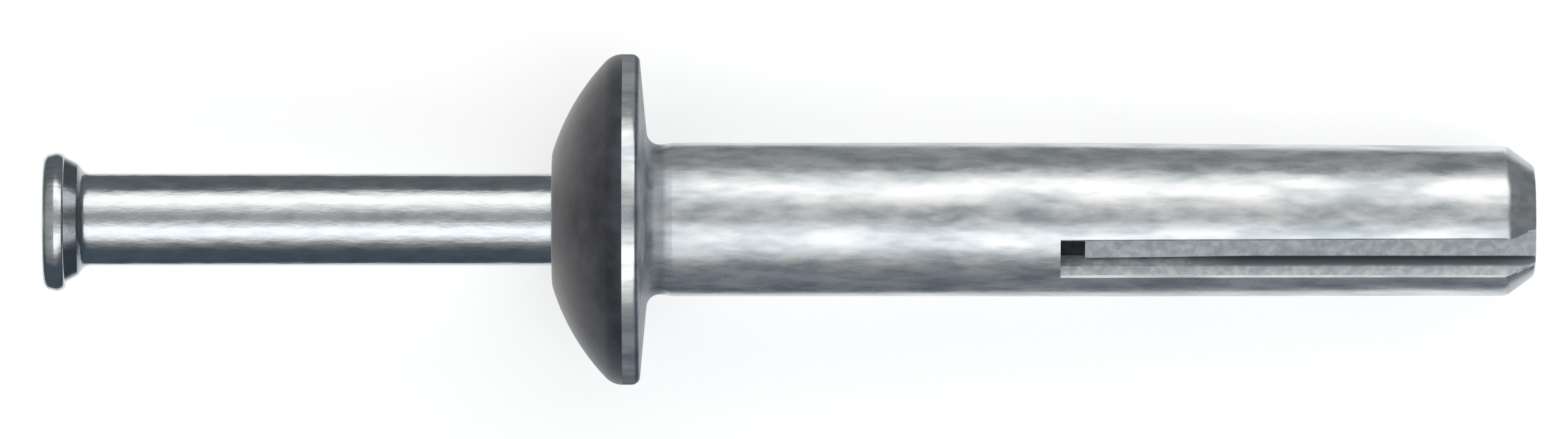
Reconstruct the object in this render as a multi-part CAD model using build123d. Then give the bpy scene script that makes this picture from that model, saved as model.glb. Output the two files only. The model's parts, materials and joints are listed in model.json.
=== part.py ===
from build123d import *
import math
import os

# Hammer drive anchor, 6.5 x 38 mm, lying at rest as it is sold: a die-cast zinc sleeve with
# a mushroom head and two split legs, and a steel drive pin that a hammer sends into it.
# Both pieces are drawn upright first. The axis is Z, height 0 is the crown of the mushroom
# head, and heights grow towards the tip of the legs. X points through the middle of one
# leg groove. All lengths are in millimetres and all angles in degrees.

# Sleeve, outside
SHANK_DIAMETER = 6.5
SHANK_LENGTH = 38.0
HEAD_DIAMETER = 14.0
HEAD_HEIGHT = 3.6
CROWN_FLAT_DIAMETER = 5.5
CROWN_EDGE_ROUND = 1.5
RIM_HEIGHT = 1.01
DOME_TO_RIM_ROUND = 1.0
RIM_EDGE_ROUND = 0.3
GATE_FLAT_WIDTH = 1.8
GATE_ANGLE = 147.1
UNDERSIDE_ANGLE = 6.8
UNDERSIDE_ROUND = 0.55
NECK_DEPTH = 0.08
NECK_LENGTH = 0.57
NECK_RUN_OUT = 0.5
TIP_CHAMFER_LENGTH = 1.2
TIP_CHAMFER_ANGLE = 36.0
TIP_EDGE_ROUND = 0.12

# Sleeve, bore and legs
BORE_CLEARANCE = 0.02
MOUTH_DIAMETER = 4.9
BORE_PAST_WINDOW = 0.25
THROAT_ANGLE = 27.0
THROAT_DIAMETER = 2.3
CHANNEL_TIP_DIAMETER = 2.1
GROOVE_WIDTH = 1.74
GROOVE_DEPTH = 1.05
GROOVE_START = 17.9
LIP_FACET_WIDTH = 0.27
LIP_FACET_DEPTH = 0.43
WINDOW_LENGTH = 1.05
SLIT_START_WIDTH = 0.08
SLIT_WIDTH = 0.2
SLIT_TAPER_LENGTH = 7.0
LEG_DRAFT = 0.02
LEG_PINCH = 0.15

# Drive pin
PIN_DIAMETER = 3.9
PIN_LENGTH = 42.0
PIN_STAND_OUT = 21.5
PIN_HEAD_DIAMETER = 5.9
PIN_RIM_HEIGHT = 0.9
PIN_RIM_BULGE = 0.06
PIN_FACE_ROUND = 0.36
PIN_RIM_ROUND = 0.22
PIN_COLLAR_DIAMETER = 5.28
PIN_COLLAR_LENGTH = 0.54
PIN_COLLAR_TAPER = 0.28
PIN_CONE_ANGLE = 55.0
PIN_NECK_ROUND = 0.5
PIN_HEAD_OFFSET = 0.12
PIN_POINT_LENGTH = 3.2
PIN_POINT_DIAMETER = 1.5

# Sizes that follow from those above
SHANK_RADIUS = SHANK_DIAMETER / 2
HEAD_RADIUS = HEAD_DIAMETER / 2
NECK_RADIUS = SHANK_RADIUS - NECK_DEPTH
PIN_RADIUS = PIN_DIAMETER / 2
PIN_HEAD_RADIUS = PIN_HEAD_DIAMETER / 2
BORE_RADIUS = PIN_RADIUS + BORE_CLEARANCE
UNDERSIDE_RUN = (HEAD_RADIUS - NECK_RADIUS) * math.tan(math.radians(UNDERSIDE_ANGLE))
NECK_START = HEAD_HEIGHT + UNDERSIDE_RUN
NECK_END = NECK_START + NECK_LENGTH
SHANK_START = NECK_END + NECK_RUN_OUT
SLEEVE_LENGTH = HEAD_HEIGHT + SHANK_LENGTH
CHAMFER_START = SLEEVE_LENGTH - TIP_CHAMFER_LENGTH
WINDOW_START = HEAD_HEIGHT + GROOVE_START
WINDOW_END = WINDOW_START + WINDOW_LENGTH
GROOVE_FLOOR = SHANK_RADIUS - GROOVE_DEPTH
FAR_WALL = -GROOVE_WIDTH / 2
SPLIT_WALL = GROOVE_WIDTH / 2 - LIP_FACET_WIDTH
GATE_DISTANCE = math.sqrt(HEAD_RADIUS**2 - (GATE_FLAT_WIDTH / 2) ** 2)
GATE_HEIGHT = HEAD_HEIGHT - RIM_EDGE_ROUND
ROLL_ANGLE = 180 - GATE_ANGLE
PIN_FACE = -PIN_STAND_OUT
PIN_RIM_END = PIN_FACE + PIN_RIM_HEIGHT
PIN_COLLAR_END = PIN_RIM_END + PIN_COLLAR_LENGTH
PIN_CONE_RADIUS = PIN_COLLAR_DIAMETER / 2 - PIN_COLLAR_TAPER


def turned(outline, arc=360):
    """Turn a face, drawn as radius across and height up, about the axis."""
    return revolve(Plane.XZ * outline, axis=Axis.Z, revolution_arc=arc)


def rounded(outline, corners):
    """Round the corners of a flat outline, each given as its point and its radius."""
    face = outline.face()
    for point, radius in corners:
        nearest = face.vertices().sort_by_distance(Vector(*point))[0]
        face = face.fillet_2d(radius, [nearest])
    return face


def cone_run(rise, angle):
    """Length along the axis that a cone at this angle to it needs for a change of radius."""
    return rise / math.tan(math.radians(angle))


def sleeve_body():
    """Mushroom head, neck, plain shank and chamfered tip, as one turned solid."""
    crown_radius = CROWN_FLAT_DIAMETER / 2
    rim_start = HEAD_HEIGHT - RIM_HEIGHT
    dome_centre = (HEAD_RADIUS**2 - crown_radius**2 + rim_start**2) / (2 * rim_start)
    dome_radius = math.hypot(dome_centre, crown_radius)
    middle_radius = (crown_radius + HEAD_RADIUS) / 2
    dome_middle = dome_centre - math.sqrt(dome_radius**2 - middle_radius**2)
    tip_radius = SHANK_RADIUS - TIP_CHAMFER_LENGTH * math.tan(math.radians(TIP_CHAMFER_ANGLE))

    crown_edge = (crown_radius, 0)
    rim_top = (HEAD_RADIUS, rim_start)
    rim_bottom = (HEAD_RADIUS, HEAD_HEIGHT)
    underside_root = (NECK_RADIUS, NECK_START)
    neck = (NECK_RADIUS, NECK_END)
    shank_top = (SHANK_RADIUS, SHANK_START)
    chamfer_top = (SHANK_RADIUS, CHAMFER_START)
    tip_edge = (tip_radius, SLEEVE_LENGTH)
    outline = make_face(
        [
            Line((0, 0), crown_edge),
            ThreePointArc(crown_edge, (middle_radius, dome_middle), rim_top),
            Polyline(rim_top, rim_bottom, underside_root, neck, shank_top, chamfer_top, tip_edge),
            Polyline(tip_edge, (0, SLEEVE_LENGTH), (0, 0)),
        ]
    )
    outline = rounded(
        outline,
        [
            (crown_edge, CROWN_EDGE_ROUND),
            (rim_top, DOME_TO_RIM_ROUND),
            (rim_bottom, RIM_EDGE_ROUND),
            (underside_root, UNDERSIDE_ROUND),
            (neck, NECK_RUN_OUT),
            (shank_top, NECK_RUN_OUT),
            (tip_edge, TIP_EDGE_ROUND),
        ],
    )
    return turned(outline)


def bore():
    """Pin hole: seat for the pin's cone, running bore, throat and narrow leg channel."""
    mouth_radius = MOUTH_DIAMETER / 2
    throat_radius = THROAT_DIAMETER / 2
    seat_depth = cone_run(mouth_radius - BORE_RADIUS, PIN_CONE_ANGLE)
    bore_end = WINDOW_END + BORE_PAST_WINDOW
    throat_end = bore_end + cone_run(BORE_RADIUS - throat_radius, THROAT_ANGLE)
    seat_corner = (BORE_RADIUS, seat_depth)
    outline = make_face(
        Polyline(
            (0, 0),
            (mouth_radius, 0),
            seat_corner,
            (BORE_RADIUS, bore_end),
            (throat_radius, throat_end),
            (CHANNEL_TIP_DIAMETER / 2, SLEEVE_LENGTH),
            (0, SLEEVE_LENGTH),
            close=True,
        )
    )
    seat_round = PIN_NECK_ROUND - 2 * BORE_CLEARANCE
    return turned(rounded(outline, [(seat_corner, seat_round)]))


def groove():
    """Groove down the side of the legs, out of the tip: one wall plain, one with a faceted lip."""
    lip_height = math.sqrt(SHANK_RADIUS**2 - (GROOVE_WIDTH / 2) ** 2)
    facet_foot = (lip_height - LIP_FACET_DEPTH, SPLIT_WALL)
    past_lip = (lip_height + LIP_FACET_DEPTH, GROOVE_WIDTH / 2 + LIP_FACET_WIDTH)
    outline = make_face(
        Polyline(
            (GROOVE_FLOOR, FAR_WALL),
            (past_lip[0], FAR_WALL),
            past_lip,
            facet_foot,
            (GROOVE_FLOOR, SPLIT_WALL),
            close=True,
        )
    )
    return extrude(Plane.XY.offset(WINDOW_START) * outline, SLEEVE_LENGTH - WINDOW_START)


def slit():
    """Thin cut that frees one leg from the other, along the groove's wall on the faceted side."""
    full_width_from = WINDOW_END + SLIT_TAPER_LENGTH
    outline = make_face(
        Polyline(
            (SPLIT_WALL, WINDOW_START),
            (SPLIT_WALL, SLEEVE_LENGTH),
            (SPLIT_WALL - SLIT_WIDTH, SLEEVE_LENGTH),
            (SPLIT_WALL - SLIT_WIDTH, full_width_from),
            (SPLIT_WALL - SLIT_START_WIDTH, WINDOW_END),
            (SPLIT_WALL - SLIT_START_WIDTH, WINDOW_START),
            close=True,
        )
    )
    return extrude(Plane.YZ * outline, SHANK_RADIUS)


def window():
    """Hole from a groove's head end in to the bore, from the plain wall to the split one."""
    across = SPLIT_WALL - FAR_WALL
    corner = (Align.MIN, Align.MIN, Align.MIN)
    return Pos(0, FAR_WALL, WINDOW_START) * Box(SHANK_DIAMETER, across, WINDOW_LENGTH, align=corner)


def gate_flat():
    """Stock taken off the rim where the casting's gate was trimmed, level with the floor."""
    slope = math.degrees(resting_tilt())
    corner = (Align.MIN, Align.CENTER, Align.CENTER)
    stock = Box(HEAD_RADIUS, HEAD_DIAMETER, 2 * HEAD_HEIGHT, align=corner)
    return Rot(0, 0, GATE_ANGLE) * Pos(GATE_DISTANCE, 0, GATE_HEIGHT) * Rot(0, -slope, 0) * stock


def leg_stock(taper):
    """Sliver off the outside of one leg, from nothing at the windows to its depth at the tip."""
    outside = SHANK_DIAMETER
    outline = make_face(
        Polyline(
            (SHANK_RADIUS, WINDOW_START),
            (SHANK_RADIUS - taper, SLEEVE_LENGTH),
            (outside, SLEEVE_LENGTH),
            (outside, WINDOW_START),
            close=True,
        )
    )
    return turned(outline, arc=180)


def anchor_sleeve():
    """The whole zinc casting: one leg has only its mould's draft, the other is pinched in."""
    opposite = Rot(0, 0, 180)
    sleeve = sleeve_body() - bore() - gate_flat()
    sleeve -= [window(), opposite * window()]
    sleeve -= [groove(), opposite * groove()]
    sleeve -= [slit(), opposite * slit()]
    sleeve -= [leg_stock(LEG_DRAFT), opposite * leg_stock(LEG_PINCH)]
    return sleeve


def pin_blank():
    """Pin without its rim: tapered collar, cone that finds the seat, plain shank, blunt point."""
    cone_end = PIN_COLLAR_END + cone_run(PIN_CONE_RADIUS - PIN_RADIUS, PIN_CONE_ANGLE)
    point_end = PIN_FACE + PIN_LENGTH
    inside_rim = (PIN_FACE + PIN_RIM_END) / 2
    neck = (PIN_RADIUS, cone_end)
    shoulder = (PIN_RADIUS, point_end - PIN_POINT_LENGTH)
    point_edge = (PIN_POINT_DIAMETER / 2, point_end)
    outline = make_face(
        Polyline(
            (0, inside_rim),
            (PIN_COLLAR_DIAMETER / 2, inside_rim),
            (PIN_COLLAR_DIAMETER / 2, PIN_RIM_END),
            (PIN_CONE_RADIUS, PIN_COLLAR_END),
            neck,
            shoulder,
            point_edge,
            (0, point_end),
            close=True,
        )
    )
    corners = [
        (neck, PIN_NECK_ROUND),
        (shoulder, PIN_RADIUS * 2),
        (point_edge, PIN_POINT_DIAMETER / 4),
    ]
    return turned(rounded(outline, corners))


def pin_rim():
    """Barrel-sided rim of the pin's head, with the flat that the hammer meets."""
    bulge = (PIN_HEAD_RADIUS, (PIN_FACE + PIN_RIM_END) / 2)
    face_edge = (PIN_HEAD_RADIUS - PIN_RIM_BULGE, PIN_FACE)
    back_edge = (PIN_HEAD_RADIUS - PIN_RIM_BULGE, PIN_RIM_END)
    outline = make_face(
        [
            Line((0, PIN_FACE), face_edge),
            ThreePointArc(face_edge, bulge, back_edge),
            Polyline(back_edge, (0, PIN_RIM_END), (0, PIN_FACE)),
        ]
    )
    corners = [(face_edge, PIN_FACE_ROUND), (back_edge, PIN_RIM_ROUND)]
    return Pos(0, PIN_HEAD_OFFSET, 0) * turned(rounded(outline, corners))


def drive_pin():
    """The whole steel pin, its head upset a little off the shank's axis."""
    return pin_blank() + pin_rim()


def resting_tilt():
    """Angle of the axis below level when the rim's gate flat and the tip's edge both touch down."""
    draft_there = LEG_DRAFT * (CHAMFER_START - WINDOW_START) / (SLEEVE_LENGTH - WINDOW_START)
    drop = GATE_DISTANCE - (SHANK_RADIUS - draft_there)
    return math.atan2(drop, CHAMFER_START - GATE_HEIGHT)


def lying_plane():
    """Plane that lays an upright piece on its side, tip low, resting on its gate flat."""
    tilt = resting_tilt()
    roll = math.radians(ROLL_ANGLE)
    towards_tip = Vector(math.cos(tilt), 0, -math.sin(tilt))
    straight_up = Vector(math.sin(tilt), 0, math.cos(tilt))
    sideways = Vector(0, -1, 0)
    groove_direction = straight_up * math.cos(roll) + sideways * math.sin(roll)
    return Plane(origin=(0, 0, 0), x_dir=groove_direction, z_dir=towards_tip)


def laid_down(pieces):
    """Lay the pieces down together and bring the middle of their footprint to the origin."""
    plane = lying_plane()
    laid = {name: plane * piece for name, piece in pieces.items()}
    box = Compound(children=[Compound(piece.solids()) for piece in laid.values()]).bounding_box()
    shift = Pos(-(box.min.X + box.max.X) / 2, -(box.min.Y + box.max.Y) / 2, -box.min.Z)
    return {name: shift * piece for name, piece in laid.items()}


pieces = laid_down({"anchor_sleeve": anchor_sleeve(), "drive_pin": drive_pin()})

os.makedirs("parts", exist_ok=True)
for name, piece in pieces.items():
    export_step(piece, f"parts/{name}.step")
    print(name, round(piece.volume, 2))
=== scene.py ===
import json
import math

import bmesh
import bpy
from mathutils import Matrix, Vector, noise


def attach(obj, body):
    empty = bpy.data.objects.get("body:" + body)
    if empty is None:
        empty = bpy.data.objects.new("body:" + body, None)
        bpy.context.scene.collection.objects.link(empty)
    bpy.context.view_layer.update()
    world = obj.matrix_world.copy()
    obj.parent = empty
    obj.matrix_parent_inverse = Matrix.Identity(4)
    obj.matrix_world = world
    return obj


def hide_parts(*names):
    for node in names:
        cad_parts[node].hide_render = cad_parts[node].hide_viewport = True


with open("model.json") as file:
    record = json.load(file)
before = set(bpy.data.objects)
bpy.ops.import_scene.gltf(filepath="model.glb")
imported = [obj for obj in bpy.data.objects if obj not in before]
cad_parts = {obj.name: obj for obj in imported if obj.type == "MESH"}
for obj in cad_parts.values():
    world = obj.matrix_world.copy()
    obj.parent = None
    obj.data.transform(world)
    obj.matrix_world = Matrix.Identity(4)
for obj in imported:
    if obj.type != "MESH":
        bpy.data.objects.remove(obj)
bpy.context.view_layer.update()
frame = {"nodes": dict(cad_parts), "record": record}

# The sleeve is one die casting of zinc alloy: mushroom head, neck, plain shank and two legs, with
# the pin's hole right through it. Its grooves, windows and slits are cored in the same shot, so
# their edges are a little round, and the skin of the casting is never quite straight.
HEAD_RADIUS = 7.0
CROWN_RADIUS = 2.75
CROWN_EDGE_ROUND = 1.5
RIM_HEIGHT = 1.01
DOME_TO_RIM_ROUND = 1.0
DOME_SKIN_END = 3.01
RIM_EDGE_ROUND = 0.34
RIM_STAND_OUT = 0.1
UNDERSIDE_SLOPE = math.tan(math.radians(6.8))
UNDERSIDE_ROUND = 0.55
UNDERSIDE_STEP = 1.0
NECK_DEPTH = 0.08
NECK_LENGTH = 0.57
NECK_RUN_OUT = 0.5
CHAMFER_LENGTH = 1.2
CHAMFER_SLOPE = math.tan(math.radians(36))
CHAMFER_ROUND = 0.6
TIP_EDGE_ROUND = 0.34
MOUTH_RADIUS = 2.45
BORE_RADIUS = 1.97
BORE_END = 22.8
THROAT_RADIUS = 1.15
THROAT_END = 24.41
CHANNEL_RADIUS = 1.05
SEAT_DEPTH = 0.336
SEAT_ROUND = 0.46
GROOVE_HALF_WIDTH = 0.87
GROOVE_DEPTH = 1.05
FACET_WIDTH = 0.27
FACET_DEPTH = 0.43
WINDOW_START = 21.5
WINDOW_END = 22.55
SLIT_START_WIDTH = 0.08
SLIT_WIDTH = 0.2
SLIT_TAPER_END = 29.55
LEG_DRAFT = 0.02
LEG_PINCH = 0.15
LIP_ROUND = 0.1
FLOOR_CORNER_ROUND = 0.14
FACET_FOOT_ROUND = 0.03
CORE_OVERLAP = 0.004
CORE_PAST_TIP = 1
CORE_PAST_SKIN = 1.3
SLIT_PAST_FLOOR = 0.3
GATE_STOCK = (0.2, 0.1, 0.01)
SKIN_START = 0.3
SKIN_WAVE = 0.009
BROAD_WAVE = (2.6, 6.5)
FINE_WAVE = (0.9, 2.2)
FINE_WAVE_SHARE = 0.35
FINE_WAVE_SHIFT = 40
SKIN_STEP = 0.3
SLEEVE_SIDES = 180
LIP_MARGIN = 0.08
BORE_MARGIN = 0.02
TIP_MARGIN = 0.01
GROOVE_ROLL = math.radians(32.9)
SHARP_EDGE = math.radians(28)
MERGE_DISTANCE = 0.0005
MM = 0.001

# It is made upright in millimetres, with its axis on Z and the crown of its head at 0. It can't
# stand, so it is laid along the axis that the record gives, on its rim and the edge of its tip.
mounts = {mount["name"]: mount for mount in frame["record"]["mounts"]}
SHANK_RADIUS = mounts["shank"]["dims"]["r_mm"]
head_seat = Vector(mounts["head_seat"]["pos_m"])
to_tip = Vector(mounts["shank"]["axis"]).normalized()
off_floor = Vector((-to_tip.z, 0, to_tip.x))
groove_side = off_floor * math.cos(GROOVE_ROLL) - Vector((0, 1, 0)) * math.sin(GROOVE_ROLL)


def heights(node):
    """Where a CAD node starts and ends along the axis, in millimetres from the head's seat."""
    along = [(v.co - head_seat).dot(to_tip) / MM for v in frame["nodes"][node].data.vertices]
    return min(along), max(along)


crown_height, tip_height = heights("anchor_sleeve")
HEAD_HEIGHT = -crown_height
SLEEVE_LENGTH = tip_height + HEAD_HEIGHT
crown = head_seat + to_tip * crown_height * MM
lying = Matrix.Identity(4)
for column, direction in enumerate((groove_side, to_tip.cross(groove_side), to_tip)):
    for row in range(3):
        lying[row][column] = direction[row]
laid_down = Matrix.Translation(crown) @ lying @ Matrix.Scale(MM, 4)


def piece(name, bm, materials, body, node):
    """Finish a mesh as a piece of the anchor: laid down, smooth but for its sharp edges."""
    for face in bm.faces:
        face.smooth = True
    for edge in bm.edges:
        edge.smooth = edge.calc_face_angle(0) < SHARP_EDGE
    mesh = bpy.data.meshes.new(name)
    bm.transform(laid_down)
    bm.to_mesh(mesh)
    bm.free()
    for material in materials:
        mesh.materials.append(material)
    made = bpy.data.objects.new(name, mesh)
    bpy.context.scene.collection.objects.link(made)
    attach(made, body)
    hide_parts(node)


def arc(centre, radius, start, end, steps):
    """Points of (radius, height) on an arc. Angle 0 looks to the crown and 90 out from the axis."""
    angles = [math.radians(start + (end - start) * i / steps) for i in range(steps + 1)]
    return [(centre[0] + radius * math.sin(a), centre[1] - radius * math.cos(a)) for a in angles]


def run(start, end, step):
    """Points of (radius, height) on a straight run, no further apart than step."""
    count = max(1, math.ceil(math.dist(start, end) / step))
    return [tuple(a + (b - a) * i / count for a, b in zip(start, end)) for i in range(count + 1)]


def rounded_corner(before, corner, after, radius, steps=6):
    """Points of (radius, height) that turn a corner on an arc that touches both its sides."""
    corner = Vector(corner)
    to_before = (Vector(before) - corner).normalized()
    to_after = (Vector(after) - corner).normalized()
    half = to_before.angle(to_after) / 2
    centre = corner + (to_before + to_after).normalized() * radius / math.sin(half)
    reach = radius / math.tan(half)
    first = corner + to_before * reach - centre
    last = corner + to_after * reach - centre
    turn = first.angle_signed(last)
    return [
        tuple(centre + Matrix.Rotation(-turn * i / steps, 2) @ first) for i in range(steps + 1)
    ]


def turned(outline, closed, steps):
    """Spin an outline of (radius, height) points once round the axis."""
    bm = bmesh.new()
    line = [bm.verts.new((radius, 0, height)) for radius, height in outline]
    ends = line[1:] + line[:1] if closed else line[1:]
    edges = [bm.edges.new(pair) for pair in zip(line, ends)]
    bmesh.ops.spin(
        bm, geom=line + edges, cent=(0, 0, 0), axis=(0, 0, 1), angle=math.tau,
        steps=steps, use_merge=True,
    )
    bmesh.ops.remove_doubles(bm, verts=bm.verts, dist=MERGE_DISTANCE)
    bmesh.ops.recalc_face_normals(bm, faces=bm.faces)
    return bm


def sleeve_outline():
    """The sleeve's section, from the mouth of its hole over the head, down to the tip and back."""
    rim_start = HEAD_HEIGHT - RIM_HEIGHT
    spread = HEAD_RADIUS**2 - CROWN_RADIUS**2
    dome_centre = (spread + rim_start**2) / (2 * rim_start)
    dome_radius = math.hypot(dome_centre, CROWN_RADIUS)
    to_round = HEAD_RADIUS - DOME_TO_RIM_ROUND
    round_height = dome_centre - math.sqrt((dome_radius - DOME_TO_RIM_ROUND) ** 2 - to_round**2)
    round_start = math.degrees(math.asin(to_round / (dome_radius - DOME_TO_RIM_ROUND)))
    crown_reach = CROWN_EDGE_ROUND * math.tan(math.asin(CROWN_RADIUS / dome_radius) / 2)
    crown_start = math.asin(CROWN_RADIUS / dome_radius)
    dome_start = math.degrees(crown_start + crown_reach / dome_radius)
    dome = arc((0, dome_centre), dome_radius, dome_start, round_start, 16)
    crown_edge = (CROWN_RADIUS, 0)
    crown_round = rounded_corner((0, 0), crown_edge, dome[0], CROWN_EDGE_ROUND, 4)

    neck_radius = SHANK_RADIUS - NECK_DEPTH
    neck_start = HEAD_HEIGHT + (HEAD_RADIUS - neck_radius) * UNDERSIDE_SLOPE
    rim_edge = (HEAD_RADIUS, HEAD_HEIGHT + RIM_STAND_OUT)
    neck_root = (neck_radius, neck_start)
    neck_end = (neck_radius, neck_start + NECK_LENGTH)
    shank_start = (SHANK_RADIUS, neck_end[1] + NECK_RUN_OUT)
    chamfer_start = (SHANK_RADIUS, SLEEVE_LENGTH - CHAMFER_LENGTH)
    tip_edge = (SHANK_RADIUS - CHAMFER_LENGTH * CHAMFER_SLOPE, SLEEVE_LENGTH)
    channel_end = (CHANNEL_RADIUS, SLEEVE_LENGTH)
    throat_start = (BORE_RADIUS, BORE_END)
    throat_end = (THROAT_RADIUS, THROAT_END)
    seat = (BORE_RADIUS, SEAT_DEPTH)
    mouth = (MOUTH_RADIUS, 0)

    into_rim = arc((to_round, round_height), DOME_TO_RIM_ROUND, round_start, 90, 12)
    rim_round = rounded_corner(into_rim[-1], rim_edge, neck_root, RIM_EDGE_ROUND)
    neck_round = rounded_corner(rim_edge, neck_root, neck_end, UNDERSIDE_ROUND)
    run_out = rounded_corner(neck_root, neck_end, shank_start, NECK_RUN_OUT)
    onto_shank = rounded_corner(neck_end, shank_start, chamfer_start, NECK_RUN_OUT)
    chamfer_round = rounded_corner(shank_start, chamfer_start, tip_edge, CHAMFER_ROUND)
    tip_round = rounded_corner(chamfer_start, tip_edge, channel_end, TIP_EDGE_ROUND)
    seat_round = rounded_corner(throat_start, seat, mouth, SEAT_ROUND)
    return (
        [mouth]
        + crown_round
        + dome[1:]
        + into_rim[1:]
        + rim_round
        + run(rim_round[-1], neck_round[0], UNDERSIDE_STEP)[1:-1]
        + neck_round
        + run_out
        + onto_shank
        + run(onto_shank[-1], chamfer_round[0], SKIN_STEP)[1:-1]
        + chamfer_round
        + run(chamfer_round[-1], tip_round[0], SKIN_STEP)[1:-1]
        + tip_round
        + [channel_end, throat_end, throat_start]
        + seat_round
    )


def cast_skin(vert):
    """Draw one leg in at its tip, draft the other, and leave the skin as wavy as it was cast."""
    x, y, height = vert.co
    radius = math.hypot(x, y)
    if radius < BORE_RADIUS + BORE_MARGIN or height < HEAD_HEIGHT + SKIN_START:
        return
    below_windows = max(0, height - WINDOW_START) / (SLEEVE_LENGTH - WINDOW_START)
    drawn_in = below_windows * (LEG_DRAFT if y > 0 else LEG_PINCH)
    across, along = BROAD_WAVE
    broad = noise.noise(Vector((x / across, y / across, height / along)))
    across, along = FINE_WAVE
    fine = noise.noise(Vector((x / across, y / across, height / along + FINE_WAVE_SHIFT)))
    ripple = SKIN_WAVE * (broad + FINE_WAVE_SHARE * fine)
    factor = 1 + (ripple - drawn_in) / radius
    vert.co = (x * factor, y * factor, height)


def core(start_section, end_section, start, end):
    """Closed prism between two outlines of (x, y) points, one at each height."""
    bm = bmesh.new()
    face = bm.faces.new([bm.verts.new((x, y, start)) for x, y in start_section])
    moved = bmesh.ops.extrude_face_region(bm, geom=[face])["geom"]
    far_face = next(item for item in moved if isinstance(item, bmesh.types.BMFace))
    for vert in far_face.verts:
        near = min(range(len(start_section)), key=lambda i: math.dist(vert.co.xy, start_section[i]))
        vert.co = (*end_section[near], end)
    bmesh.ops.recalc_face_normals(bm, faces=bm.faces)
    return bm


def rounded_lip(foot, outwards, into_groove, radius, steps=7):
    """Points that turn a groove's wall into the shank's skin on an arc that touches both."""
    foot, outwards, into_groove = Vector(foot), Vector(outwards), Vector(into_groove)
    start = foot - into_groove * LIP_ROUND
    along = start.dot(outwards)
    reach = math.sqrt(along**2 - start.length_squared + (radius - LIP_ROUND) ** 2) - along
    centre = start + outwards * reach
    turn = into_groove.angle_signed(centre)
    return [
        tuple(centre + Matrix.Rotation(-turn * i / steps, 2) @ into_groove * LIP_ROUND)
        for i in range(steps + 1)
    ]


def groove_section(plain_side, split_side):
    """A groove across, for the radius of the skin on each side: one lip is cut to a facet."""
    floor = SHANK_RADIUS - GROOVE_DEPTH
    split_wall = GROOVE_HALF_WIDTH - FACET_WIDTH
    lip_height = math.sqrt(SHANK_RADIUS**2 - GROOVE_HALF_WIDTH**2)
    drawn_in = SHANK_RADIUS - split_side
    foot = (lip_height - FACET_DEPTH - drawn_in, split_wall)
    along_facet = Vector((FACET_DEPTH, FACET_WIDTH)).normalized()
    off_facet = Vector((along_facet.y, -along_facet.x))
    far = (floor, -GROOVE_HALF_WIDTH)
    near = (floor, split_wall)
    plain_lip = rounded_lip(far, (1, 0), (0, 1), plain_side)
    facet_lip = rounded_lip(foot, along_facet, off_facet, split_side)
    beyond_plain = tuple(Vector(plain_lip[-1]) * CORE_PAST_SKIN)
    beyond_facet = tuple(Vector(facet_lip[-1]) * CORE_PAST_SKIN)
    return (
        rounded_corner(near, far, plain_lip[0], FLOOR_CORNER_ROUND, 4)
        + plain_lip
        + [beyond_plain, beyond_facet]
        + facet_lip[::-1]
        + rounded_corner(facet_lip[0], foot, near, FACET_FOOT_ROUND, 3)
        + [near]
    )


def groove_core(plain_taper, split_taper):
    """Core that leaves a groove from the window out of the tip, as the legs draw in."""
    past_tip = SLEEVE_LENGTH + CORE_PAST_TIP
    growth = (past_tip - WINDOW_START) / (SLEEVE_LENGTH - WINDOW_START)
    start_section = groove_section(SHANK_RADIUS, SHANK_RADIUS)
    end_section = groove_section(
        SHANK_RADIUS - plain_taper * growth, SHANK_RADIUS - split_taper * growth
    )
    return core(start_section, end_section, WINDOW_START, past_tip)


def slit_core():
    """Core that leaves a slit along the groove's split wall, wider towards the tip."""
    wall = GROOVE_HALF_WIDTH - FACET_WIDTH - CORE_OVERLAP
    depth = SHANK_RADIUS - GROOVE_DEPTH + SLIT_PAST_FLOOR
    past_tip = SLEEVE_LENGTH + CORE_PAST_TIP
    bm = bmesh.new()
    line = [
        bm.verts.new((0, y, height))
        for y, height in (
            (wall, WINDOW_START),
            (wall, past_tip),
            (wall - SLIT_WIDTH, past_tip),
            (wall - SLIT_WIDTH, SLIT_TAPER_END),
            (wall - SLIT_START_WIDTH, WINDOW_END),
            (wall - SLIT_START_WIDTH, WINDOW_START),
        )
    ]
    moved = bmesh.ops.extrude_face_region(bm, geom=[bm.faces.new(line)])["geom"]
    outer = [item for item in moved if isinstance(item, bmesh.types.BMVert)]
    bmesh.ops.translate(bm, verts=outer, vec=(depth, 0, 0))
    bmesh.ops.recalc_face_normals(bm, faces=bm.faces)
    return bm


def window_core():
    """Core that leaves a window from a groove's head end in to the bore."""
    near = GROOVE_HALF_WIDTH - FACET_WIDTH - CORE_OVERLAP
    far = CORE_OVERLAP - GROOVE_HALF_WIDTH
    across = SHANK_RADIUS * 1.2
    section = ((0, far), (across, far), (across, near), (0, near))
    return core(section, section, WINDOW_START - CORE_OVERLAP, WINDOW_END)


def gate_core():
    """Stock below the table: the gate's stub on the rim, which was trimmed flat."""
    bm = bmesh.new()
    bmesh.ops.create_cube(bm, size=1)
    bmesh.ops.translate(bm, verts=bm.verts, vec=(0, 0, -0.5))
    bmesh.ops.scale(bm, verts=bm.verts, vec=GATE_STOCK)
    bm.transform(laid_down.inverted())
    return bm


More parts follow.
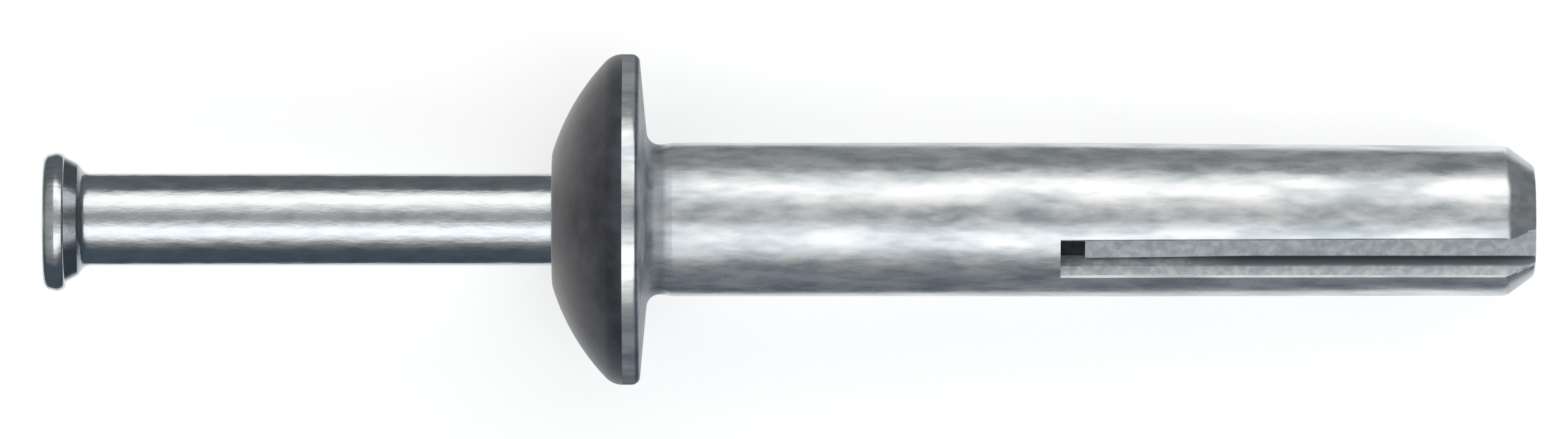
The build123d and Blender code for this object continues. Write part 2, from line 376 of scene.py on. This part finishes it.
def cut(bm, cores):
    """Take cores out of a closed mesh, one after another."""
    whole = bpy.data.meshes.new("casting")
    bm.to_mesh(whole)
    bm.free()
    casting = bpy.data.objects.new("casting", whole)
    bpy.context.scene.collection.objects.link(casting)
    cutters = []
    for shape, turn in cores:
        bmesh.ops.rotate(shape, verts=shape.verts, matrix=Matrix.Rotation(turn, 3, "Z"))
        mesh = bpy.data.meshes.new("core")
        shape.to_mesh(mesh)
        shape.free()
        cutter = bpy.data.objects.new("core", mesh)
        bpy.context.scene.collection.objects.link(cutter)
        cutters.append(cutter)
        modifier = casting.modifiers.new("cut", "BOOLEAN")
        modifier.operation = "DIFFERENCE"
        modifier.solver = "EXACT"
        modifier.object = cutter
    graph = bpy.context.evaluated_depsgraph_get()
    opened = bpy.data.meshes.new_from_object(casting.evaluated_get(graph))
    result = bmesh.new()
    result.from_mesh(opened)
    for made in [casting, *cutters]:
        bpy.data.objects.remove(made)
    return result


sleeve_mesh = turned(sleeve_outline(), closed=True, steps=SLEEVE_SIDES)
for vert in sleeve_mesh.verts:
    cast_skin(vert)
sleeve_mesh = cut(
    sleeve_mesh,
    [
        (groove_core(LEG_PINCH, LEG_DRAFT), 0),
        (groove_core(LEG_DRAFT, LEG_PINCH), math.pi),
        (window_core(), 0),
        (window_core(), math.pi),
        (slit_core(), 0),
        (slit_core(), math.pi),
        (gate_core(), 0),
    ],
)
for face in sleeve_mesh.faces:
    middle = face.calc_center_median()
    out = math.hypot(middle.x, middle.y)
    in_groove = abs(middle.y) < GROOVE_HALF_WIDTH and middle.z > WINDOW_START
    in_groove = in_groove and out < SHANK_RADIUS - LIP_MARGIN
    in_bore = out < BORE_RADIUS + BORE_MARGIN
    if (in_groove or in_bore) and middle.z < SLEEVE_LENGTH - TIP_MARGIN:
        face.material_index = 1
    elif out > MOUTH_RADIUS and middle.z < DOME_SKIN_END:
        face.material_index = 2


def linear(hex_colour):
    """An sRGB hex colour as the linear colour that shaders take."""
    parts = [int(hex_colour[i : i + 2], 16) / 255 for i in (0, 2, 4)]
    return [c / 12.92 if c <= 0.04045 else ((c + 0.055) / 1.055) ** 2.4 for c in parts] + [1]


def add(material, kind, settings=(), links=()):
    """Add a node with its settings and its incoming links, given by name or by number."""
    node = material.node_tree.nodes.new(kind)
    for key, value in dict(settings).items():
        if isinstance(key, int) or key in node.inputs.keys():
            node.inputs[key].default_value = value
        else:
            setattr(node, key, value)
    for key, source in dict(links).items():
        material.node_tree.links.new(source, node.inputs[key])
    return node


def new_material(name):
    """An empty material with its shader, its output and the anchor's own millimetre frame."""
    material = bpy.data.materials.new(name)
    material.use_nodes = True
    material.node_tree.nodes.clear()
    place = add(material, "ShaderNodeTexCoord")
    upright = add(
        material,
        "ShaderNodeMapping",
        {
            "vector_type": "TEXTURE",
            "Location": crown,
            "Rotation": lying.to_euler(),
            "Scale": (MM, MM, MM),
        },
        {"Vector": place.outputs["Object"]},
    )
    shader = add(material, "ShaderNodeBsdfPrincipled")
    add(material, "ShaderNodeOutputMaterial", links={"Surface": shader.outputs[0]})
    return material, upright.outputs[0], shader


def zinc_casting():
    """Satin die-cast zinc: a hazy sheen in long cloudy bands. The corner under the head, where
    nothing rubs it, is rougher, and its colour there is painted darker: painted shade where the
    head shades its underside and neck. The chamfer at the tip is painted darker as well: painted
    shade in place of the dark reflection it shows."""
    material, upright, shader = new_material("satin_die_cast_zinc")
    shader.inputs["Metallic"].default_value = 0.75
    stretched = add(
        material, "ShaderNodeMapping", {"Scale": (1.0, 1.0, 0.3)}, {"Vector": upright}
    )
    clouds = add(
        material,
        "ShaderNodeTexNoise",
        {"Scale": 0.95, "Detail": 2.0, "Roughness": 0.5},
        {"Vector": stretched.outputs[0]},
    )
    mottle = add(
        material,
        "ShaderNodeTexNoise",
        {"Scale": 2.6, "Detail": 3.0, "Roughness": 0.55},
        {"Vector": stretched.outputs[0]},
    )
    relief = add(
        material,
        "ShaderNodeMath",
        {"operation": "MULTIPLY_ADD", 1: 0.6},
        {0: mottle.outputs["Fac"], 2: clouds.outputs["Fac"]},
    )
    parts = add(material, "ShaderNodeSeparateXYZ", links={0: upright})
    along_neck = add(
        material,
        "ShaderNodeMapRange",
        {"From Min": 3.5, "From Max": 5.4},
        {"Value": parts.outputs["Z"]},
    )

    clouded = add(material, "ShaderNodeValToRGB", links={"Fac": relief.outputs[0]})
    low, high = clouded.color_ramp.elements
    low.position, low.color = 0.6, linear("B3BABE")
    high.position, high.color = 0.95, linear("E9EAEA")
    # Painted shade: the colour darkens on the head's underside and the neck, where the head shades
    # them.
    neck = add(material, "ShaderNodeValToRGB", links={"Fac": along_neck.outputs[0]})
    for position, shade in (
        (0.05, "A0A6AE"),
        (0.13, "BCC1C7"),
        (0.34, "CCCFD3"),
        (0.56, "C8CBCF"),
        (0.72, "FFFFFF"),
    ):
        neck.color_ramp.elements.new(position).color = linear(shade)
    neck.color_ramp.elements[0].color = linear("FFFFFF")
    colour = add(
        material,
        "ShaderNodeMix",
        {"data_type": "RGBA", "blend_type": "MULTIPLY", 0: 1.0},
        {6: clouded.outputs[0], 7: neck.outputs[0]},
    )
    # Painted shade: the chamfer's colour is mixed towards dark grey, in place of its dark
    # reflection.
    chamfer = add(
        material,
        "ShaderNodeMapRange",
        {
            "From Min": SLEEVE_LENGTH - CHAMFER_LENGTH - 0.08,
            "From Max": SLEEVE_LENGTH - CHAMFER_LENGTH + 0.04,
            "To Max": 0.6,
        },
        {"Value": parts.outputs["Z"]},
    )
    painted_chamfer_shade = add(
        material,
        "ShaderNodeMix",
        {"data_type": "RGBA", 7: linear("8E949A")},
        {0: chamfer.outputs[0], 6: colour.outputs[2]},
    )
    material.node_tree.links.new(painted_chamfer_shade.outputs[2], shader.inputs["Base Color"])

    sheen = add(
        material,
        "ShaderNodeMapRange",
        {"From Min": 0.33, "From Max": 0.67, "To Min": 0.13, "To Max": 0.23},
        {"Value": mottle.outputs["Fac"]},
    )
    dulled = add(material, "ShaderNodeFloatCurve", links={"Value": along_neck.outputs[0]})
    curve = dulled.mapping.curves[0]
    for position, more in ((0.05, 0.0), (0.1, 0.3), (0.34, 0.35), (0.56, 0.3), (0.72, 0.1)):
        curve.points.new(position, more)
    curve.points[-1].location = (1.0, 0.1)
    for point in curve.points:
        point.handle_type = "VECTOR"
    dulled.mapping.update()
    rough = add(
        material,
        "ShaderNodeMath",
        {"operation": "ADD"},
        {0: sheen.outputs[0], 1: dulled.outputs[0]},
    )
    material.node_tree.links.new(rough.outputs[0], shader.inputs["Roughness"])
    bump = add(
        material,
        "ShaderNodeBump",
        {"Strength": 1.0, "Distance": 0.01 * MM},
        {"Height": relief.outputs[0]},
    )
    material.node_tree.links.new(bump.outputs[0], shader.inputs["Normal"])
    return material


def dome_skin():
    """The powdery skin that the dome kept, with cloudy patches, and a pale haze where the surface
    turns away. Its dark colour is painted shade in place of the dark reflection the dome shows:
    warm grey at the crown, darker and bluer by the rim."""
    material, upright, shader = new_material("powdery_dome_skin_and_shade")
    shader.inputs["Metallic"].default_value = 0.35
    shader.inputs["Sheen Weight"].default_value = 1.0
    shader.inputs["Sheen Roughness"].default_value = 0.4
    shader.inputs["Sheen Tint"].default_value = linear("DCDADA")
    clouds = add(
        material,
        "ShaderNodeTexNoise",
        {"Scale": 0.8, "Detail": 4.0, "Roughness": 0.6},
        {"Vector": upright},
    )
    parts = add(material, "ShaderNodeSeparateXYZ", links={0: upright})
    to_rim = add(
        material,
        "ShaderNodeMapRange",
        {"From Max": DOME_SKIN_END},
        {"Value": parts.outputs["Z"]},
    )
    # Painted shade: the dark base colour, darker and bluer from crown to rim, stands in for the
    # dome's dark reflection.
    tint = add(material, "ShaderNodeValToRGB", links={"Fac": to_rim.outputs[0]})
    low, high = tint.color_ramp.elements
    low.position, low.color = 0.0, linear("676567")
    high.position, high.color = 1.0, linear("464953")
    patches = add(material, "ShaderNodeValToRGB", links={"Fac": clouds.outputs["Fac"]})
    low, high = patches.color_ramp.elements
    low.position, low.color = 0.36, linear("B4B4B6")
    high.position, high.color = 0.64, linear("FFFFFF")
    colour = add(
        material,
        "ShaderNodeMix",
        {"data_type": "RGBA", "blend_type": "MULTIPLY", 0: 1.0},
        {6: tint.outputs[0], 7: patches.outputs[0]},
    )
    material.node_tree.links.new(colour.outputs[2], shader.inputs["Base Color"])
    rough = add(
        material,
        "ShaderNodeMapRange",
        {"From Min": 0.33, "From Max": 0.67, "To Min": 0.46, "To Max": 0.6},
        {"Value": clouds.outputs["Fac"]},
    )
    material.node_tree.links.new(rough.outputs[0], shader.inputs["Roughness"])
    bump = add(
        material,
        "ShaderNodeBump",
        {"Strength": 1.0, "Distance": 0.02 * MM},
        {"Height": clouds.outputs["Fac"]},
    )
    material.node_tree.links.new(bump.outputs[0], shader.inputs["Normal"])
    return material


def cored_zinc():
    """Zinc as it leaves a core: matt, grainy and pale, with hardly a reflection. The wall that
    the slit runs along is painted darker from where the slit opens: painted shade."""
    material, upright, shader = new_material("matt_cored_zinc")
    shader.inputs["Metallic"].default_value = 0.25
    grain = add(
        material,
        "ShaderNodeTexNoise",
        {"Scale": 2.6, "Detail": 4.0, "Roughness": 0.6},
        {"Vector": upright},
    )
    tint = add(material, "ShaderNodeValToRGB", links={"Fac": grain.outputs["Fac"]})
    low, high = tint.color_ramp.elements
    low.position, low.color = 0.38, linear("B4BDC1")
    high.position, high.color = 0.65, linear("DDDFDF")
    # X times Y has one sign in both grooves, and it is largest on the wall beside the slit.
    parts = add(material, "ShaderNodeSeparateXYZ", links={0: upright})
    corner = add(
        material,
        "ShaderNodeMath",
        {"operation": "MULTIPLY"},
        {0: parts.outputs["X"], 1: parts.outputs["Y"]},
    )
    wall = add(
        material,
        "ShaderNodeMapRange",
        {"From Min": 1.0, "From Max": 1.25},
        {"Value": corner.outputs[0]},
    )
    facet = add(
        material,
        "ShaderNodeMapRange",
        {"From Min": 1.66, "From Max": 1.5},
        {"Value": corner.outputs[0]},
    )
    open_from = add(
        material,
        "ShaderNodeMapRange",
        {"From Min": 26.5, "From Max": 29.0},
        {"Value": parts.outputs["Z"]},
    )
    wall_only = add(
        material,
        "ShaderNodeMath",
        {"operation": "MULTIPLY"},
        {0: wall.outputs[0], 1: facet.outputs[0]},
    )
    # Painted shade: the wall beside the slit is mixed towards dark grey from where the slit opens.
    painted_slit_wall_shade = add(
        material,
        "ShaderNodeMath",
        {"operation": "MULTIPLY"},
        {0: wall_only.outputs[0], 1: open_from.outputs[0]},
    )
    colour = add(
        material,
        "ShaderNodeMix",
        {"data_type": "RGBA", 7: linear("868F95")},
        {0: painted_slit_wall_shade.outputs[0], 6: tint.outputs[0]},
    )
    material.node_tree.links.new(colour.outputs[2], shader.inputs["Base Color"])
    rough = add(
        material,
        "ShaderNodeMapRange",
        {"From Min": 0.3, "From Max": 0.7, "To Min": 0.5, "To Max": 0.62},
        {"Value": grain.outputs["Fac"]},
    )
    material.node_tree.links.new(rough.outputs[0], shader.inputs["Roughness"])
    bump = add(
        material,
        "ShaderNodeBump",
        {"Strength": 1.0, "Distance": 0.02 * MM},
        {"Height": grain.outputs["Fac"]},
    )
    material.node_tree.links.new(bump.outputs[0], shader.inputs["Normal"])
    return material


piece(
    "cast_sleeve",
    sleeve_mesh,
    [zinc_casting(), cored_zinc(), dome_skin()],
    "sleeve",
    "anchor_sleeve",
)


# The drive pin is a drawn steel nail, cold-headed and then zinc plated. A hammer meets its flat
# head. The rim was upset a little off the shank's axis. The collar under it ends in a cone that
# finds the sleeve's seat.
PIN_RADIUS = 1.95
PIN_HEAD_RADIUS = 2.95
PIN_RIM_HEIGHT = 0.9
PIN_RIM_BULGE = 0.13
PIN_RIM_CREST = 0.6
PIN_CREST_ROUND = 0.4
PIN_FACE_ROUND = 0.3
PIN_RIM_ROUND = 0.16
PIN_COLLAR_RADIUS = 2.64
PIN_COLLAR_LENGTH = 0.54
PIN_COLLAR_TAPER = 0.28
PIN_COLLAR_ROUND = 0.1
PIN_CONE_SLOPE = math.tan(math.radians(55))
PIN_NECK_ROUND = 0.5
PIN_HEAD_OFFSET = 0.12
PIN_POINT_LENGTH = 3.2
PIN_POINT_RADIUS = 0.75
PIN_SHOULDER_ROUND = 3.9
PIN_WAVE = 0.003
PIN_WAVE_SIZE = (2.2, 5)
PIN_WAVE_SHIFT = 90
PIN_WAVE_START = 1
PIN_FACE_STEP = 0.7
PIN_SIDES = 128
pin_face, pin_end = (height + HEAD_HEIGHT for height in heights("drive_pin"))
pin_rim_end = pin_face + PIN_RIM_HEIGHT


def pin_outline():
    """The pin's section, from the middle of its face round the rim and down to its point."""
    side = PIN_HEAD_RADIUS - PIN_RIM_BULGE
    face_edge = (side, pin_face)
    back_edge = (side, pin_rim_end)
    widest = (PIN_HEAD_RADIUS, pin_face + PIN_RIM_CREST)
    collar = (PIN_COLLAR_RADIUS, pin_rim_end)
    cone_radius = PIN_COLLAR_RADIUS - PIN_COLLAR_TAPER
    cone_top = (cone_radius, pin_rim_end + PIN_COLLAR_LENGTH)
    neck = (PIN_RADIUS, cone_top[1] + (cone_radius - PIN_RADIUS) / PIN_CONE_SLOPE)
    shoulder = (PIN_RADIUS, pin_end - PIN_POINT_LENGTH)
    point_edge = (PIN_POINT_RADIUS, pin_end)
    face_round = rounded_corner((0, pin_face), face_edge, widest, PIN_FACE_ROUND, 8)
    crest = rounded_corner(face_edge, widest, back_edge, PIN_CREST_ROUND, 5)
    back_round = rounded_corner(widest, back_edge, (0, pin_rim_end), PIN_RIM_ROUND, 5)
    cone_round = rounded_corner(collar, cone_top, neck, PIN_COLLAR_ROUND, 4)
    neck_round = rounded_corner(cone_top, neck, shoulder, PIN_NECK_ROUND, 8)
    shoulder_round = rounded_corner(neck, shoulder, point_edge, PIN_SHOULDER_ROUND, 8)
    point_round = rounded_corner(shoulder, point_edge, (0, pin_end), PIN_POINT_RADIUS / 2, 6)
    return (
        run((0, pin_face), face_round[0], PIN_FACE_STEP)[:-1]
        + face_round
        + crest
        + back_round
        + [collar]
        + cone_round
        + neck_round
        + run(neck_round[-1], shoulder_round[0], SKIN_STEP)[1:-1]
        + shoulder_round
        + point_round
        + [(0, pin_end)]
    )


def upset_head(vert):
    """Shift the rim off the axis, and leave the drawn shank just short of straight."""
    x, y, height = vert.co
    if height <= pin_rim_end + 0.001 and math.hypot(x, y) > PIN_COLLAR_RADIUS + 0.01:
        vert.co.y += PIN_HEAD_OFFSET
    elif height <= pin_face + PIN_FACE_ROUND:
        vert.co.y += PIN_HEAD_OFFSET
    elif height > pin_rim_end + PIN_WAVE_START:
        across, along = PIN_WAVE_SIZE
        where = Vector((x / across, y / across, height / along + PIN_WAVE_SHIFT))
        wave = PIN_WAVE * noise.noise(where)
        vert.co.x *= 1 + wave / PIN_RADIUS
        vert.co.y *= 1 + wave / PIN_RADIUS


pin_mesh = turned(pin_outline(), closed=False, steps=PIN_SIDES)
for vert in pin_mesh.verts:
    upset_head(vert)


def plated_steel():
    """Bright zinc plating on drawn steel: clear reflections and faint draw lines. The collar
    under the rim is painted darker: painted shade, where the rim shades it."""
    material, upright, shader = new_material("bright_zinc_plate")
    shader.inputs["Metallic"].default_value = 1.0
    drawn = add(
        material, "ShaderNodeMapping", {"Scale": (1.0, 1.0, 0.3)}, {"Vector": upright}
    )
    lines = add(
        material,
        "ShaderNodeTexNoise",
        {"Scale": 3.0, "Detail": 4.0, "Roughness": 0.6},
        {"Vector": drawn.outputs[0]},
    )
    tint = add(material, "ShaderNodeValToRGB", links={"Fac": lines.outputs["Fac"]})
    low, high = tint.color_ramp.elements
    low.position, low.color = 0.35, linear("BFC4C6")
    high.position, high.color = 0.6, linear("D1D4D5")
    parts = add(material, "ShaderNodeSeparateXYZ", links={0: upright})
    along_head = add(
        material,
        "ShaderNodeMapRange",
        {"From Min": pin_face, "From Max": pin_face + 2},
        {"Value": parts.outputs["Z"]},
    )
    # Painted shade: the collar under the rim is darkened, where the rim shades it.
    collar = add(material, "ShaderNodeValToRGB", links={"Fac": along_head.outputs[0]})
    for position, shade in ((0.42, "FFFFFF"), (0.47, "BFC4C8"), (0.74, "BFC4C8")):
        collar.color_ramp.elements.new(position).color = linear(shade)
    collar.color_ramp.elements[0].color = linear("FFFFFF")
    collar.color_ramp.elements[-1].position = 0.9
    colour = add(
        material,
        "ShaderNodeMix",
        {"data_type": "RGBA", "blend_type": "MULTIPLY", 0: 1.0},
        {6: tint.outputs[0], 7: collar.outputs[0]},
    )
    material.node_tree.links.new(colour.outputs[2], shader.inputs["Base Color"])
    sheen = add(
        material,
        "ShaderNodeMapRange",
        {"From Min": 0.3, "From Max": 0.7, "To Min": 0.17, "To Max": 0.24},
        {"Value": lines.outputs["Fac"]},
    )
    face = add(
        material,
        "ShaderNodeMapRange",
        {"From Min": pin_face + 0.08, "From Max": pin_face + 0.02, "To Max": 0.25},
        {"Value": parts.outputs["Z"]},
    )
    rough = add(
        material,
        "ShaderNodeMath",
        {"operation": "ADD"},
        {0: sheen.outputs[0], 1: face.outputs[0]},
    )
    material.node_tree.links.new(rough.outputs[0], shader.inputs["Roughness"])
    bump = add(
        material,
        "ShaderNodeBump",
        {"Strength": 1.0, "Distance": 0.014 * MM},
        {"Height": lines.outputs["Fac"]},
    )
    material.node_tree.links.new(bump.outputs[0], shader.inputs["Normal"])
    return material


piece("headed_pin", pin_mesh, [plated_steel()], "pin", "drive_pin")


# The table is a plain matt white sheet. It is lit as white paper is, and the camera and the
# metal see it a little brighter, so that it stays white round a soft, light shadow.
FLOOR_SIZE = 3.0
FLOOR_DROP = 0.00002
FLOOR_GLOW = 0.46

floor_mesh = bmesh.new()
bmesh.ops.create_grid(floor_mesh, x_segments=1, y_segments=1, size=FLOOR_SIZE / 2)
bmesh.ops.translate(floor_mesh, verts=floor_mesh.verts, vec=(0, 0, -FLOOR_DROP))
floor_data = bpy.data.meshes.new("floor")
floor_mesh.to_mesh(floor_data)
floor_mesh.free()
floor = bpy.data.objects.new("floor", floor_data)
bpy.context.scene.collection.objects.link(floor)

paper = bpy.data.materials.new("matt_white_paper")
paper.use_nodes = True
paper.node_tree.nodes.clear()
lit = add(paper, "ShaderNodeBsdfDiffuse", {"Color": linear("F4F4F4")})
path = add(paper, "ShaderNodeLightPath")
seen = add(
    paper,
    "ShaderNodeMath",
    {"operation": "ADD"},
    {0: path.outputs["Is Camera Ray"], 1: path.outputs["Is Glossy Ray"]},
)
seen_through = add(
    paper,
    "ShaderNodeMath",
    {"operation": "ADD"},
    {0: seen.outputs[0], 1: path.outputs["Is Transmission Ray"]},
)
glow = add(
    paper,
    "ShaderNodeMath",
    {"operation": "MULTIPLY", 1: FLOOR_GLOW},
    {0: seen_through.outputs[0]},
)
bright = add(
    paper, "ShaderNodeEmission", {"Color": (1, 1, 1, 1)}, {"Strength": glow.outputs[0]}
)
both = add(paper, "ShaderNodeAddShader", links={0: lit.outputs[0], 1: bright.outputs[0]})
add(paper, "ShaderNodeOutputMaterial", links={"Surface": both.outputs[0]})
floor_data.materials.append(paper)


# The light is that of a small studio: two long softboxes over the anchor, a warm one beyond it
# and a cool one on the near side, each with a brighter middle, and a dim room round them.
BOX_DISTANCE = 0.42
BOX_LEFT = -0.16
BOX_RIGHT = 0.55


def softbox(name, start, end, radiance, colour):
    """A long area lamp parallel to the anchor, between two angles from straight over it."""
    length = BOX_RIGHT - BOX_LEFT
    width = 2 * BOX_DISTANCE * math.tan(math.radians(abs(end - start)) / 2)
    lamp = bpy.data.lights.new(name, "AREA")
    lamp.shape = "RECTANGLE"
    lamp.size = length
    lamp.size_y = width
    lamp.energy = radiance * math.pi * length * width
    lamp.color = colour
    made = bpy.data.objects.new(name, lamp)
    angle = math.radians(start + end) / 2
    away = off_floor * math.cos(angle) + Vector((0, 1, 0)) * math.sin(angle)
    place = to_tip * (BOX_LEFT + BOX_RIGHT) / 2 + away * BOX_DISTANCE
    across = away.cross(to_tip)
    turn = Matrix((to_tip, across, away)).transposed()
    made.matrix_world = Matrix.Translation(place) @ turn.to_4x4()
    bpy.context.scene.collection.objects.link(made)


WARM = (1.0, 0.985, 0.96)
COOL = (0.95, 0.98, 1.0)
softbox("far_whole", 18, 78, 0.39, WARM)
softbox("far_inner", 27, 72, 0.46, WARM)
softbox("far_middle", 38, 64, 0.58, WARM)
softbox("near_whole", -5, -59, 0.36, COOL)
softbox("near_inner", -11, -52, 0.4, COOL)
softbox("near_middle", -19, -43, 0.56, COOL)


# Low dark cards stand just outside the anchor on both sides and past its tip, and lean away from
# it. Only reflections show them: they give the round metal its dark edges, as in a real studio.
CARD_RISE = 0.045
CARD_SIZE = 1.2
TIP_CARD_SIZE = 0.016

for name, turn, start, end, shade in (
    ("card_far", 90, 0.008, 0.15, "80868A"),
    ("card_near", -90, 0.008, 0.15, "5F6B78"),
    ("card_tip", 0, 0.0335, 0.6, "80868A"),
):
    card_paper = bpy.data.materials.new(name)
    card_paper.use_nodes = True
    card_paper.node_tree.nodes.clear()
    dark = add(card_paper, "ShaderNodeBsdfDiffuse", {"Color": linear(shade)})
    add(card_paper, "ShaderNodeOutputMaterial", links={"Surface": dark.outputs[0]})
    card_mesh = bmesh.new()
    bmesh.ops.create_grid(card_mesh, x_segments=1, y_segments=1, size=0.5)
    for vert in card_mesh.verts:
        outer = vert.co.x > 0
        vert.co = (
            end if outer else start,
            vert.co.y * (CARD_SIZE if turn else TIP_CARD_SIZE),
            CARD_RISE if outer else 0,
        )
    facing_out = Matrix.Rotation(math.radians(turn), 3, "Z")
    bmesh.ops.rotate(card_mesh, verts=card_mesh.verts, matrix=facing_out)
    bmesh.ops.recalc_face_normals(card_mesh, faces=card_mesh.faces)
    card_data = bpy.data.meshes.new(name)
    card_mesh.to_mesh(card_data)
    card_mesh.free()
    card_data.materials.append(card_paper)
    card = bpy.data.objects.new(name, card_data)
    bpy.context.scene.collection.objects.link(card)
    card.visible_camera = False
    card.visible_diffuse = False
    card.visible_shadow = False

world = bpy.data.worlds.new("dim_room")
bpy.context.scene.world = world
world.use_nodes = True
world.node_tree.nodes.clear()
direction = add(world, "ShaderNodeTexCoord")
upward = add(world, "ShaderNodeSeparateXYZ", links={0: direction.outputs["Generated"]})
overhead = add(
    world,
    "ShaderNodeMapRange",
    {"From Min": 0.0, "From Max": 1.0, "To Min": 0.12, "To Max": 0.45},
    {"Value": upward.outputs["Z"]},
)
room = add(
    world,
    "ShaderNodeBackground",
    {"Color": (0.97, 0.99, 1.0, 1)},
    {"Strength": overhead.outputs[0]},
)
add(world, "ShaderNodeOutputWorld", links={"Surface": room.outputs[0]})

bpy.context.scene.view_settings.view_transform = "Standard"


# The camera looks down on the anchor through a long lens, square to its axis, as the
# photograph does, with the pin's head to the left and the tip to the right.
IMAGE_WIDTH = 2576
PIXELS_PER_MM = 38.8
CAMERA_DISTANCE = 0.75
AIM_HEIGHT = 9.83

field = IMAGE_WIDTH / PIXELS_PER_MM * MM
aim = crown + to_tip * AIM_HEIGHT * MM
camera_data = bpy.data.cameras.new("camera")
camera_data.sensor_width = 36
camera_data.lens = camera_data.sensor_width * CAMERA_DISTANCE / field
camera_data.clip_start = 0.01
camera_data.clip_end = 10
camera = bpy.data.objects.new("camera", camera_data)
facing = Matrix((to_tip, Vector((0, 1, 0)), off_floor)).transposed()
camera.matrix_world = Matrix.Translation(aim + off_floor * CAMERA_DISTANCE) @ facing.to_4x4()
bpy.context.scene.collection.objects.link(camera)
bpy.context.scene.camera = camera
